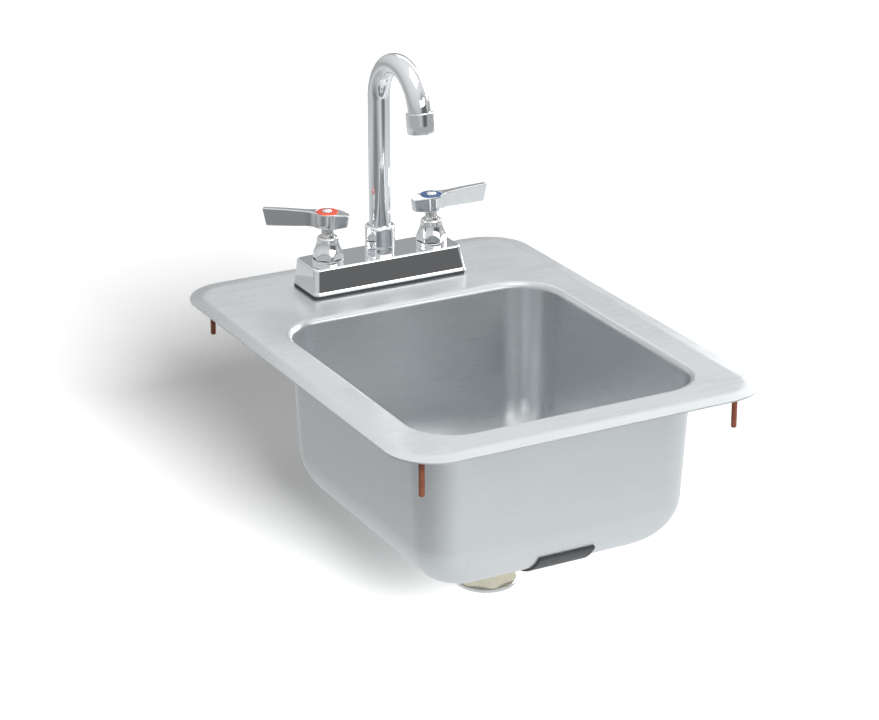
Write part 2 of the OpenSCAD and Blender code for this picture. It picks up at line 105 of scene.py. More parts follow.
def add_camera():
    """The photograph's view: a long lens, left of centre and above."""
    azimuth, elevation, roll = map(math.radians, (CAMERA_AZIMUTH, CAMERA_ELEVATION, CAMERA_ROLL))
    back = Vector(
        (
            math.sin(azimuth) * math.cos(elevation),
            -math.cos(azimuth) * math.cos(elevation),
            math.sin(elevation),
        )
    )
    right = Vector((math.cos(azimuth), math.sin(azimuth), 0))
    turn = Matrix((right, back.cross(right), back)).transposed().to_4x4()
    data = bpy.data.cameras.new("camera")
    data.sensor_width, data.lens = 36.0, CAMERA_LENS
    data.clip_start, data.clip_end = 0.05, 100
    camera = bpy.data.objects.new("camera", data)
    bpy.context.scene.collection.objects.link(camera)
    camera.matrix_world = Matrix.Translation(CAMERA_PLACE) @ turn @ Matrix.Rotation(roll, 4, "Z")
    bpy.context.scene.camera = camera


def softbox(name, place, target, width, height, radiance, fills=False):
    """A rectangular area light of a given brightness, turned to face a point.

    Metal mirrors it, and it lights matt surfaces only where fills is true.
    """
    data = bpy.data.lights.new(name, "AREA")
    data.shape, data.size, data.size_y = "RECTANGLE", width, height
    data.energy = radiance * math.pi * width * height
    light = bpy.data.objects.new(name, data)
    bpy.context.scene.collection.objects.link(light)
    light.location = place
    light.rotation_euler = (Vector(target) - Vector(place)).to_track_quat("-Z", "Y").to_euler()
    light.visible_camera = False
    light.visible_diffuse = fills


def shadow_light(direction, strength, spread):
    """A wide sun that lights the floor and casts the soft shadow, and isn't mirrored in the metal."""
    data = bpy.data.lights.new("shadow_light", "SUN")
    data.energy, data.angle = strength, math.radians(spread)
    light = bpy.data.objects.new("shadow_light", data)
    bpy.context.scene.collection.objects.link(light)
    light.rotation_euler = Vector(direction).to_track_quat("Z", "Y").to_euler()
    light.visible_glossy = False


def add_world():
    """A pale studio with two dim places: low in front on the right, and low behind on the right."""
    world = bpy.data.worlds.new("studio")
    bpy.context.scene.world = world
    world.use_nodes = True
    tree = world.node_tree
    tree.nodes.clear()
    way = tree.nodes.new("ShaderNodeTexCoord").outputs["Generated"]
    split = tree.nodes.new("ShaderNodeSeparateXYZ")
    tree.links.new(way, split.inputs[0])
    height = ramp(tree, split.outputs["Z"], [(0.5, 0.56), (0.62, 0.68), (0.8, 0.8), (1.0, 0.95)], -1, 1)
    total = darkened(tree, way, height, DIM_WALLS)
    background = tree.nodes.new("ShaderNodeBackground")
    background.inputs["Color"].default_value = (0.97, 0.985, 1.0, 1)
    tree.links.new(total, background.inputs["Strength"])
    output = tree.nodes.new("ShaderNodeOutputWorld")
    tree.links.new(background.outputs[0], output.inputs[0])
    world.cycles_visibility.diffuse = False


def add_stage(material):
    """Plain pale floor, just under the drain's lowest ring."""
    mesh = bpy.data.meshes.new("floor")
    rings, steps = 24, 96
    points, faces = [(0, 0, 0)], []
    for i in range(1, rings + 1):
        radius = STAGE_REACH * (i / rings) ** 2
        points += [(radius * math.cos(TAU * j / steps), radius * math.sin(TAU * j / steps), 0) for j in range(steps)]
    for j in range(steps):
        faces.append((0, 1 + j, 1 + (j + 1) % steps))
    for i in range(rings - 1):
        a, b = 1 + i * steps, 1 + (i + 1) * steps
        faces += [(a + j, b + j, b + (j + 1) % steps, a + (j + 1) % steps) for j in range(steps)]
    mesh.from_pydata(points, [], faces)
    mesh.materials.append(material)
    floor = bpy.data.objects.new("floor", mesh)
    bpy.context.scene.collection.objects.link(floor)
    floor.location.z = FLOOR_LEVEL - 0.0005
    floor.visible_glossy = False


def darkened(tree, place, total, spots):
    """Dims a brightness round each spot, given as (place, inner radius, outer radius, share left)."""
    for spot, inner, outer, share in spots:
        distance = tree.nodes.new("ShaderNodeVectorMath")
        distance.operation = "DISTANCE"
        tree.links.new(place, distance.inputs[0])
        distance.inputs[1].default_value = spot
        product = tree.nodes.new("ShaderNodeMath")
        product.operation = "MULTIPLY"
        tree.links.new(total, product.inputs[0])
        tree.links.new(map_range(tree, distance.outputs["Value"], share, 1.0, inner, outer), product.inputs[1])
        total = product.outputs[0]
    return total


def add_mirrored_floor():
    """What the metal mirrors below it: a sheet of cards, dim to the left and far away, that only reflections meet."""
    material = bpy.data.materials.new("floor_cards")
    material.use_nodes = True
    tree = material.node_tree
    tree.nodes.clear()
    place = tree.nodes.new("ShaderNodeTexCoord").outputs["Object"]
    glow_at = tree.nodes.new("ShaderNodeVectorMath")
    glow_at.operation = "LENGTH"
    tree.links.new(place, glow_at.inputs[0])
    total = darkened(tree, place, map_range(tree, glow_at.outputs["Value"], 1.0, 0.45, 0.35, 1.7), CARDS)
    glow = tree.nodes.new("ShaderNodeEmission")
    glow.inputs["Color"].default_value = (0.96, 0.985, 1.0, 1)
    tree.links.new(total, glow.inputs["Strength"])
    output = tree.nodes.new("ShaderNodeOutputMaterial")
    tree.links.new(glow.outputs[0], output.inputs["Surface"])
    mesh = bpy.data.meshes.new("floor_cards")
    corners = [(x * STAGE_REACH, y * STAGE_REACH, 0) for x, y in ((-1, -1), (1, -1), (1, 1), (-1, 1))]
    mesh.from_pydata(corners, [], [(0, 1, 2, 3)])
    mesh.materials.append(material)
    sheet = bpy.data.objects.new("floor_cards", mesh)
    bpy.context.scene.collection.objects.link(sheet)
    sheet.location.z = FLOOR_LEVEL - 0.0004
    for kind in ("camera", "diffuse", "transmission", "volume_scatter", "shadow"):
        setattr(sheet, "visible_" + kind, False)


# ---------- materials ----------


def ramp(tree, value, stops, low=0.0, high=1.0):
    """Maps a value through stops given as (place, grey)."""
    scale = map_range(tree, value, 0.0, 1.0, low, high)
    node = tree.nodes.new("ShaderNodeValToRGB")
    while len(node.color_ramp.elements) < len(stops):
        node.color_ramp.elements.new(0.5)
    for element, (place, grey) in zip(node.color_ramp.elements, stops):
        element.position = place
        element.color = (grey, grey, grey, 1)
    tree.links.new(scale, node.inputs[0])
    return node.outputs[0]


def map_range(tree, value, low, high, from_low=0.3, from_high=0.7):
    """Maps a value to low..high; the usual input range is where a noise mostly lies."""
    node = tree.nodes.new("ShaderNodeMapRange")
    node.inputs["From Min"].default_value = from_low
    node.inputs["From Max"].default_value = from_high
    node.inputs["To Min"].default_value = low
    node.inputs["To Max"].default_value = high
    tree.links.new(value, node.inputs["Value"])
    return node.outputs["Result"]


def noise(tree, scale, detail=3.0, roughness=0.5, offset=0.0):
    """Noise in the row frame, with its own scale along each axis (per metre)."""
    coord = tree.nodes.new("ShaderNodeTexCoord")
    mapping = tree.nodes.new("ShaderNodeMapping")
    mapping.inputs["Scale"].default_value = scale
    mapping.inputs["Location"].default_value = (offset, offset, offset)
    texture = tree.nodes.new("ShaderNodeTexNoise")
    texture.inputs["Scale"].default_value = 1.0
    texture.inputs["Detail"].default_value = detail
    texture.inputs["Roughness"].default_value = roughness
    tree.links.new(coord.outputs["Object"], mapping.inputs["Vector"])
    tree.links.new(mapping.outputs["Vector"], texture.inputs["Vector"])
    return texture.outputs["Fac"]


def mix_values(tree, factor, a, b):
    node = tree.nodes.new("ShaderNodeMix")
    tree.links.new(factor, node.inputs[0])
    tree.links.new(a, node.inputs[2])
    tree.links.new(b, node.inputs[3])
    return node.outputs[0]


def mix_colours(tree, factor, a, b):
    node = tree.nodes.new("ShaderNodeMix")
    node.data_type = "RGBA"
    tree.links.new(factor, node.inputs[0])
    for socket, colour in ((node.inputs[6], a), (node.inputs[7], b)):
        if isinstance(colour, bpy.types.NodeSocket):
            tree.links.new(colour, socket)
        else:
            socket.default_value = (*colour, 1)
    return node.outputs[2]


def shaded(colour, share):
    """A colour made lighter or darker by a share."""
    return tuple(min(1.0, max(0.0, c * share)) for c in colour)


def bump(tree, height, strength, distance_mm):
    node = tree.nodes.new("ShaderNodeBump")
    node.inputs["Strength"].default_value = strength
    node.inputs["Distance"].default_value = distance_mm * MM
    tree.links.new(height, node.inputs["Height"])
    return node.outputs["Normal"]


def new_material(name, metallic, **fixed):
    """A material with a Principled shader; fixed values go straight on its sockets."""
    material = bpy.data.materials.new(name)
    material.use_nodes = True
    tree = material.node_tree
    shader = tree.nodes["Principled BSDF"]
    shader.inputs["Metallic"].default_value = metallic
    for socket, value in fixed.items():
        shader.inputs[socket.replace("_", " ")].default_value = value
    return material, tree, shader


def surface(name, colour, rough, metallic=0.0, scale=(90, 90, 90), tone=0.06, spread=0.05, relief=0.1,
            relief_mm=0.05, detail=3.0, tint=None, **fixed):
    """Finish with a noise that varies its colour, its roughness and, slightly, its height."""
    material, tree, shader = new_material(name, metallic, **fixed)
    grain = noise(tree, scale, detail)
    patch = noise(tree, tuple(s * 0.13 for s in scale), 2.0, offset=3.7)
    other = tint or shaded(colour, 1 + tone)
    base = mix_colours(tree, map_range(tree, patch, 0, 1), shaded(colour, 1 - tone), other)
    base = mix_colours(tree, map_range(tree, grain, 0, 0.5), base, shaded(colour, 1 - 2 * tone))
    tree.links.new(base, shader.inputs["Base Color"])
    tree.links.new(map_range(tree, grain, rough - spread, rough + spread), shader.inputs["Roughness"])
    tree.links.new(bump(tree, grain, relief, relief_mm), shader.inputs["Normal"])
    return material


def satin_steel():
    """Brushed stainless sheet: fine grain left to right, turning round with the side walls."""
    material, tree, shader = new_material("satin_steel", 1.0, Anisotropic=0.55, Anisotropic_Rotation=0.25)
    across = noise(tree, (26, 2300, 2300), 5.0, 0.62)
    along = noise(tree, (2300, 26, 2300), 5.0, 0.62)
    geometry = tree.nodes.new("ShaderNodeNewGeometry")
    split = tree.nodes.new("ShaderNodeSeparateXYZ")
    tree.links.new(geometry.outputs["Normal"], split.inputs[0])
    size = tree.nodes.new("ShaderNodeMath")
    size.operation = "ABSOLUTE"
    tree.links.new(split.outputs["X"], size.inputs[0])
    side = map_range(tree, size.outputs[0], 0, 1, 0.45, 0.8)
    grain = mix_values(tree, side, across, along)
    bands = noise(tree, (7, 160, 60), 3.0, 0.6, 1.3)
    cloud = noise(tree, (14, 14, 14), 2.0, 0.5, 5.1)
    base = mix_colours(tree, map_range(tree, grain, 0, 1), STEEL_DARK, STEEL_PALE)
    base = mix_colours(tree, map_range(tree, bands, 0, 0.3), base, STEEL_PALE)
    tree.links.new(base, shader.inputs["Base Color"])
    rough = map_range(tree, grain, 0.26, 0.40)
    shift = map_range(tree, cloud, -0.02, 0.02)
    total = tree.nodes.new("ShaderNodeMath")
    tree.links.new(rough, total.inputs[0])
    tree.links.new(shift, total.inputs[1])
    tree.links.new(total.outputs[0], shader.inputs["Roughness"])
    tree.links.new(bump(tree, grain, 0.035, 0.02), shader.inputs["Normal"])
    round_wall = tree.nodes.new("ShaderNodeVectorMath")
    round_wall.operation = "CROSS_PRODUCT"
    round_wall.inputs[0].default_value = (0, 0, 1)
    tree.links.new(geometry.outputs["Normal"], round_wall.inputs[1])
    grain_way = tree.nodes.new("ShaderNodeVectorMath")
    grain_way.inputs[1].default_value = (0.2, 0, 0)
    tree.links.new(round_wall.outputs[0], grain_way.inputs[0])
    tree.links.new(grain_way.outputs[0], shader.inputs["Tangent"])
    return material


def floor_finish():
    """Matt white paper that glows a little, so that it renders as the photograph's white ground."""
    material, tree, shader = new_material("floor_paper", 0.0)
    cloud = noise(tree, (0.7, 0.7, 0.7), 2.0)
    base = mix_colours(tree, map_range(tree, cloud, 0, 1), (0.93, 0.93, 0.93), (0.955, 0.955, 0.955))
    tree.links.new(base, shader.inputs["Base Color"])
    shader.inputs["Roughness"].default_value = 1.0
    shader.inputs["Specular IOR Level"].default_value = 0.0
    shader.inputs["Emission Color"].default_value = (1, 1, 1, 1)
    shader.inputs["Emission Strength"].default_value = 0.25
    return material


FINISHES = {
    "satin_steel": satin_steel(),
    "chrome": surface("chrome", (0.87, 0.88, 0.89), 0.05, 1.0, (70, 70, 70), 0.012, 0.02, 0.05, 0.02, 2.0),
    "cast_chrome": surface("cast_chrome", (0.84, 0.85, 0.86), 0.12, 1.0, (110, 110, 110), 0.02, 0.04, 0.2, 0.04),
    "drawn_steel": surface("drawn_steel", (0.64, 0.65, 0.66), 0.24, 1.0, (300, 300, 300), 0.05, 0.07, 0.1, 0.03, 4.0),
    "coppered_steel": surface(
        "coppered_steel", (0.20, 0.060, 0.034), 0.46, 0.55, (900, 900, 900), 0.25, 0.12, 0.3, 0.05, 4.0,
        tint=(0.30, 0.105, 0.06),
    ),
    "black_rubber": surface("black_rubber", (0.022, 0.025, 0.028), 0.5, 0.0, (700, 700, 700), 0.15, 0.08, 0.25, 0.06),
    "putty": surface("putty", (0.70, 0.68, 0.62), 0.6, 0.0, (400, 400, 400), 0.05, 0.08, 0.2, 0.08),
    "fibre": surface("fibre", (0.45, 0.36, 0.24), 0.8, 0.0, (900, 900, 900), 0.14, 0.08, 0.3, 0.08, 5.0),
    "die_cast": surface("die_cast", (0.66, 0.665, 0.66), 0.32, 1.0, (450, 450, 450), 0.06, 0.09, 0.3, 0.05, 4.0),
    "yellow_zinc": surface(
        "yellow_zinc", (0.66, 0.61, 0.46), 0.27, 1.0, (160, 160, 160), 0.05, 0.08, 0.2, 0.04,
        tint=(0.70, 0.67, 0.56),
    ),
    "white_nylon": surface("white_nylon", (0.80, 0.80, 0.77), 0.45, 0.0, (300, 300, 300), 0.03, 0.06, 0.1, 0.05),
    "brass": surface("brass", (0.72, 0.53, 0.26), 0.28, 1.0, (350, 350, 350), 0.06, 0.08, 0.2, 0.04),
    "nickel_brass": surface("nickel_brass", (0.80, 0.79, 0.77), 0.14, 1.0, (220, 220, 220), 0.04, 0.05, 0.1, 0.03),
    "ceramic_white": surface("ceramic_white", (0.86, 0.86, 0.84), 0.18, 0.0, (200, 200, 200), 0.02, 0.05, 0.05, 0.02),
    "red_index": surface(
        "red_index", (0.78, 0.055, 0.016), 0.35, 0.0, (260, 260, 260), 0.06, 0.06, 0.15, 0.04,
        tint=(0.86, 0.085, 0.022),
    ),
    "blue_index": surface(
        "blue_index", (0.018, 0.075, 0.21), 0.35, 0.0, (260, 260, 260), 0.06, 0.06, 0.15, 0.04,
        tint=(0.028, 0.10, 0.26),
    ),
    "grey_plastic": surface("grey_plastic", (0.10, 0.10, 0.10), 0.45, 0.0, (400, 400, 400), 0.1, 0.06, 0.15, 0.05),
}

# ---------- mesh making ----------


def grid_faces(rows, cols, looped):
    """Quads between rows of points, where each row runs round and a looped grid joins its last row to its first."""
    faces = []
    for i in range(rows if looped else rows - 1):
        a, b = i * cols, ((i + 1) % rows) * cols
        faces += [(a + j, a + (j + 1) % cols, b + (j + 1) % cols, b + j) for j in range(cols)]
    return faces


def fillet(points, size, looped=False, steps=4):
    """Rounds a polyline's corners. size is one radius for all, or one for each point."""
    count = len(points)
    sizes = size if isinstance(size, (list, tuple)) else [size] * count
    made = []
    for i, p in enumerate(points):
        if sizes[i] <= 0 or (not looped and i in (0, count - 1)):
            made.append(tuple(p))
            continue
        p = np.array(p, float)
        before = np.array(points[i - 1], float) - p
        after = np.array(points[(i + 1) % count], float) - p
        long_before, long_after = np.linalg.norm(before), np.linalg.norm(after)
        cut = min(sizes[i], 0.45 * long_before, 0.45 * long_after)
        a, b = p + before / long_before * cut, p + after / long_after * cut
        for k in range(steps + 1):
            t = k / steps
            made.append(tuple((1 - t) ** 2 * a + 2 * t * (1 - t) * p + t * t * b))
    return made


def lathe(profile, centre=(0, 0), looped=False, segments=128, reach=None):
    """Turns a profile of (radius, height) round an upright axis. reach(radius, height, angles) reshapes each circle."""
    angles = np.arange(segments) * TAU / segments
    points = []
    for r, z in profile:
        radii = np.full(segments, float(r)) if reach is None else reach(r, z, angles)
        xs, ys = centre[0] + radii * np.cos(angles), centre[1] + radii * np.sin(angles)
        points += [(x, y, z) for x, y in zip(xs, ys)]
    return points, grid_faces(len(profile), segments, looped)


def soft_min(a, b, blend):
    """The smaller of two values, rounded over where they meet."""
    share = np.clip(0.5 + 0.5 * (b - a) / blend, 0, 1)
    return b * (1 - share) + a * share - blend * share * (1 - share)


def soft_max(a, b, blend):
    return -soft_min(-a, -b, blend)


def hexagon(corner, turn, blend=0.35):
    """Limits a turned shape to a hexagon with that corner radius, and softens the edges between them."""
    flat = corner * math.cos(math.pi / 6)

    def reach(r, z, angles):
        off = (angles - math.radians(turn)) % (math.pi / 3) - math.pi / 6
        return soft_min(np.full_like(angles, float(r)), flat / np.cos(off), blend)

    return reach


def thread(outside, pitch, depth, low, high):
    """Helical ridges on the parts of a turned shape that are at the thread's outside radius."""

    def reach(r, z, angles):
        fade = np.clip(min(z - low, high - z) / pitch, 0, 1) if abs(r - outside) < 0.02 else 0.0
        wave = 0.5 - 0.5 * np.cos(TAU * z / pitch - angles)
        return r - depth * fade * wave ** 1.4

    return reach


def levels(low, high, step):
    """Evenly spaced values from low to high, about a step apart."""
    count = max(2, int(round(abs(high - low) / step)) + 1)
    return list(np.linspace(low, high, count))


def ring(half_x, half_y, radius, centre, z, corner=14, side=6):
    """Points of a rounded rectangle, with extra points along its straight sides."""
    corners = []
    for q, (sx, sy) in enumerate(((1, 1), (-1, 1), (-1, -1), (1, -1))):
        arc = [math.radians(90 * (q + k / corner)) for k in range(corner + 1)]
        corners.append([
            (centre[0] + sx * (half_x - radius) + radius * math.cos(a),
             centre[1] + sy * (half_y - radius) + radius * math.sin(a)) for a in arc
        ])
    points = []
    for q in range(4):
        points += corners[q]
        start, end = np.array(corners[q][-1]), np.array(corners[(q + 1) % 4][0])
        points += [tuple(start + (end - start) * k / side) for k in range(1, side)]
    return [(x, y, z) for x, y in points]


def stack(rings, looped=False, capped=False):
    """Skins between rings of equal length. A capped stack is closed by flat ends."""
    cols = len(rings[0])
    points = [p for r in rings for p in r]
    faces = grid_faces(len(rings), cols, looped)
    if capped:
        faces += [tuple(range(cols)), tuple(range((len(rings) - 1) * cols, len(rings) * cols))]
    return points, faces


def joined(*parts):
    """Several parts as one, where a part is (points, faces)."""
    points, faces = [], []
    for part_points, part_faces in parts:
        start = len(points)
        points += part_points
        faces += [tuple(i + start for i in f) for f in part_faces]
    return points, faces


def placed(part, matrix):
    return [tuple(matrix @ Vector(p)) for p in part[0]], part[1]


def at(part, centre, turn=0.0):
    """Turns a part about the upright axis, then moves it to a centre."""
    matrix = Matrix.Translation((centre[0], centre[1], 0)) @ Matrix.Rotation(math.radians(turn), 4, "Z")
    return placed(part, matrix)


def block(low, high):
    x0, y0, z0 = low
    x1, y1, z1 = high
    points = [(x, y, z) for z in (z0, z1) for x, y in ((x0, y0), (x1, y0), (x1, y1), (x0, y1))]
    faces = [(3, 2, 1, 0), (4, 5, 6, 7), (0, 1, 5, 4), (1, 2, 6, 5), (2, 3, 7, 6), (3, 0, 4, 7)]
    return points, faces


def rod(radius, low, high, centre=(0, 0), segments=64):
    return lathe([(0, low), (radius, low), (radius, high), (0, high)], centre, segments=segments)


def mesh_of(name, part):
    """A clean closed mesh in millimetres, with its faces turned outwards."""
    mesh = bpy.data.meshes.new(name)
    mesh.from_pydata([tuple(map(float, p)) for p in part[0]], [], part[1])
    work = bmesh.new()
    work.from_mesh(mesh)
    bmesh.ops.remove_doubles(work, verts=work.verts, dist=1e-4)
    bmesh.ops.dissolve_degenerate(work, dist=1e-5, edges=work.edges)
    bmesh.ops.recalc_face_normals(work, faces=work.faces)
    work.to_mesh(mesh)
    work.free()
    return mesh


def combine(part, other, operation):
    """Exact boolean of two closed parts."""
    objects = []
    for label, each in (("cut_a", part), ("cut_b", other)):
        made = bpy.data.objects.new(label, mesh_of(label, each))
        bpy.context.scene.collection.objects.link(made)
        objects.append(made)
    modifier = objects[0].modifiers.new("cut", "BOOLEAN")
    modifier.operation, modifier.solver, modifier.object = operation, "EXACT", objects[1]
    depsgraph = bpy.context.evaluated_depsgraph_get()
    result = objects[0].evaluated_get(depsgraph).to_mesh()
    points = [tuple(v.co) for v in result.vertices]
    faces = [tuple(p.vertices) for p in result.polygons]
    for made in objects:
        mesh = made.data
        bpy.data.objects.remove(made)
        bpy.data.meshes.remove(mesh)
    return points, faces


def piece(name, part, finish, body, replaces=(), sharp=38):
    """Makes one visible piece in metres, ties it to its CAD body, gives it its material and hides the CAD nodes it
    replaces.
    """
    mesh = mesh_of(name, part)
    mesh.transform(Matrix.Scale(MM, 4))
    mesh.shade_smooth()
    mesh.set_sharp_from_angle(angle=math.radians(sharp))
    mesh.materials.append(FINISHES[finish])
    made = bpy.data.objects.new(name, mesh)
    bpy.context.scene.collection.objects.link(made)
    modifier = made.modifiers.new("even_normals", "WEIGHTED_NORMAL")
    modifier.keep_sharp = True
    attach(made, body)
    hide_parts(*replaces)


# ---------- sink ----------

ROLL_IN = SHEET - ROLL_R
ROLL_Z = DECK_Z - ROLL_R
BEND_Z = BEND_R - BOWL_H
BEND_SUM = ROLL_R + BEND_R - SHEET
WALL_RUN = (ROLL_Z - BEND_Z + BEND_SUM * math.sin(DRAFT)) / math.cos(DRAFT)
BEND_IN = ROLL_IN + BEND_SUM * math.cos(DRAFT) + WALL_RUN * math.sin(DRAFT)
FOOT_IN = BEND_IN - BEND_R * math.cos(DRAFT)


def rim_ring(inset, z):
    """The rim's outline, drawn in by an inset, at a height."""
    return ring(RIM_W / 2 - inset, RIM_L / 2 - inset, RIM_R - inset, (0, 0), z, 20, 10)


def bowl_ring(inset, radius, z):
    """The bowl's outline with its own corner radius; it has as many points as a rim ring."""
    return ring(BOWL_W / 2 - inset, BOWL_L / 2 - inset, radius, (0, BOWL_Y), z, 20, 10)


def round_ring(radius, z):
    """A circle round the drain with as many points as a rim ring."""
    return ring(radius + 0.02, radius + 0.02, radius, (0, BOWL_Y), z, 20, 10)


def roll_rings(side, steps=12):
    """Rolled edge from the deck down to the wall; side is the radius on that face of the sheet."""
    rings = []
    for k in range(steps + 1):
        a = math.pi / 2 - (math.pi / 2 - DRAFT) * k / steps
        inset = ROLL_IN + side * math.cos(a)
        rings.append(bowl_ring(inset, BOWL_R - inset, ROLL_Z + side * math.sin(a)))
    return rings


def bend_rings(side, steps=26):
    """Bend between the walls and the floor; side is the radius on that face of the sheet."""
    rings = []
    for k in range(steps + 1):
        a = math.pi + DRAFT + (math.pi / 2 - DRAFT) * k / steps
        inset = BEND_IN + side * math.cos(a)
        share = (BEND_IN - inset) / (side * math.cos(DRAFT))
        wall_corner = BOWL_R - FOOT_IN - (BEND_R - side)
        radius = FLOOR_R + (wall_corner - FLOOR_R) * share
        rings.append(bowl_ring(inset, radius, BEND_Z + side * math.sin(a)))
    return rings


def sink_shell():
    """Deck, rolled edge, bowl and drain recess as one closed sheet."""
    rim = fillet([(0, 0.0), (0, SHEET), (BEVEL, DECK_Z), (BEVEL + 8, DECK_Z)], [0, 0.45, 2.6, 0], steps=5)
    top = [rim_ring(inset, z) for inset, z in rim[:-1]] + [rim_ring(BEVEL + 3.2, DECK_Z)]
    recess = fillet([(66, FLOOR_Z), (60.4, FLOOR_Z), (57.6, SEAT_Z), (44.45, SEAT_Z)], [0, 1.4, 1.2, 0])
    under = [(r, z - SHEET) for r, z in recess]
    rings = top + roll_rings(ROLL_R) + bend_rings(BEND_R - SHEET)
    rings += [round_ring(r, z) for r, z in recess]
    rings += [round_ring(r, z) for r, z in reversed(under)]
    rings += list(reversed(bend_rings(BEND_R))) + list(reversed(roll_rings(ROLL_R - SHEET)))
    rings += [rim_ring(BEVEL, DECK_Z - SHEET), rim_ring(LIP, 0.0)]
    shell = stack(rings, looped=True)
    holes = joined(*(rod(FAUCET_HOLE_R, -5, 7, (x, SPOUT[1]), 96) for x in (-HANDLE_X, HANDLE_X)))
    return combine(shell, holes, "DIFFERENCE")


def studs():
    """Four threaded studs with their weld beads."""
    tip = -35.0
    profile = [(0, tip), (1.7, tip), (STUD_R, tip + 0.9)]
    profile += [(STUD_R, z) for z in levels(tip + 1.1, -0.6, 0.14)]
    profile += fillet([(STUD_R, -0.4), (3.4, 0.4), (3.4, 1.2), (0, 1.2)], 0.3)
    one = lathe(profile, segments=40, reach=thread(STUD_R, 1.06, 0.34, tip + 0.9, -0.8))
    return joined(*(at(one, (x, y)) for x in (-STUD_X, STUD_X) for y in (-STUD_Y, STUD_Y)))


def sound_pad():
    """Rubber strip stuck round the front bend and under the floor."""
    width, thick, centre_x = 51.5, 2.2, 4.3
    y0, z0 = BOWL_Y - BOWL_L / 2 + BEND_IN, BEND_Z
    inner, tail = BEND_R + 0.05, BOWL_Y - 62
    arc = [math.radians(a) for a in np.linspace(212.5, 270, 60)]
    route = [(y0, z0, math.cos(a), math.sin(a), inner) for a in arc]
    route += [(y, z0, 0.0, -1.0, inner) for y in np.linspace(y0, tail, 24)[1:]]
    lengths = [0.0]
    spots = [(y + c * r, z + s * r) for y, z, c, s, r in route]
    for a, b in zip(spots, spots[1:]):
        lengths.append(lengths[-1] + math.dist(a, b))
    rings = []
    for (y, z, c, s, r), run in zip(route, lengths):
        end = min(run, lengths[-1] - run)
        soft = 0.6 * (1 - math.sqrt(max(0.0, 1 - max(0.0, 1 - end / 0.6) ** 2)))
        half, high = width / 2 - soft, thick - soft
        outline = fillet(
            [(-half, 0.0), (half, 0.0), (half, high), (-half, high)], [0.05, 0.05, 0.7, 0.7], looped=True,
        )
        rings.append([(centre_x + x, y + c * (r + h), z + s * (r + h)) for x, h in outline])
    return stack(rings, capped=True)


# ---------- drain ----------


def drain_body():
    """Flange, deep cup with an outside thread, throat and outlet, with a cross over the outlet."""
    f, cup, out, bore = SEAT_Z + 0.8, 42.6, 21.9, 20.1
    outer = [(57, f), (44, f), (cup, f - 1.6)]
    outer += [(cup, z) for z in levels(f - 2.2, -177.2, 0.35)]
    outer += fillet([(cup, -177.4), (cup - 0.4, -178.0), (25, -182.6), (out, -184.5), (out, -197), (bore, -197)], 1.0)
    inner = fillet(
        [(bore, -197), (bore, -183.2), (22.5, -181.4), (cup - 1.6, -176.6), (cup - 1.6, f - 2.2), (cup, f + 0.6),
         (46, f + 1.3), (55.5, f + 1.5), (57, f + 1.2)],
        [0, 1, 1, 2.4, 2, 1, 1, 0.6, 0],
    )
    reach = thread(cup, 2.1, 0.7, -176.5, f - 3)
    body = lathe(outer + inner[1:], looped=True, segments=180, reach=reach)
    bars = [block((-21, -1, -186.4), (21, 1, -183.4)), block((-1, -21, -186.4), (1, 21, -183.4))]
    cross = combine(combine(bars[0], bars[1], "UNION"), rod(5, -186.4, -183.4), "UNION")
    cross = combine(cross, rod(2.1, -190, -180), "DIFFERENCE")
    return at(combine(body, cross, "UNION"), DRAIN)


def drain_locknut():
    """Cast ring nut with eight wrench lugs."""
    top, bore = SEAT_Z - SHEET - 3.8, 42.65

    def lugs(r, z, angles):
        off = angles % (math.pi / 4) - math.pi / 8
        share = np.clip((0.085 - np.abs(off)) / 0.028 + 0.5, 0, 1)
        share = share * share * (3 - 2 * share)
        return np.where(r > 47, r + (53.2 - r) * share, r)

    profile = fillet(
        [(bore, top - 8), (49, top - 8), (49, top - 3), (53, top - 3), (53, top), (bore, top)],
        [0.6, 0.6, 0.8, 0.6, 0.6, 0.6], looped=True,
    )
    return at(lathe(profile, looped=True, segments=360, reach=lugs), DRAIN, turn=22.5)


def outlet_nut():
    """Hexagonal slip nut with an inward lip at its foot."""
    profile = fillet(
        [(21.95, -199.2), (20.5, -199.2), (20.5, -200.6), (25.3, -200.6), (25.3, -187.0), (24.2, -186.4),
         (23.9, -185.6), (21.95, -185.6)],
        [0, 0.2, 0.2, 0.7, 0.5, 0.3, 0.4, 0.2], looped=True,
    )
    return at(lathe(profile, looped=True, segments=240, reach=hexagon(26.4, 17, 0.25)), DRAIN)


def outlet_ring():
    """Flat cast ring under the slip nut; its bore takes the tailpiece."""
    profile = fillet(
        [(19.4, -204), (25.2, -204), (26, -203.1), (26, -201.3), (25.6, -200.65), (20.4, -200.65), (20.4, -199),
         (19.4, -199)],
        [0.3, 0.5, 0.6, 0.5, 0.3, 0, 0.2, 0.2], looped=True,
    )
    return at(lathe(profile, looped=True, segments=160), DRAIN)


def basket_cup():
    """Pressed strainer basket with slots round its wall and holes in its floor."""
    top, foot = -151.2, -176.0
    profile = fillet(
        [(40.5, top), (40.5, top - 0.8), (37.4, top - 0.8), (37.4, foot), (2.05, foot), (2.05, foot + 0.8),
         (36.6, foot + 0.8), (36.6, top)],
        [0.3, 0.3, 0.6, 1.4, 0, 0, 1.0, 0.9], looped=True,
    )
    cup = lathe(profile, looped=True, segments=200)
    slots = [at(block((30, -1.2, foot + 5), (42, 1.2, foot + 19)), (0, 0), 18 * k) for k in range(20)]
    holes = [at(rod(1.6, foot - 1, foot + 2, (31.5, 0), 24), (0, 0), 22.5 * k) for k in range(16)]
    return at(combine(cup, joined(*slots, *holes), "DIFFERENCE"), DRAIN)


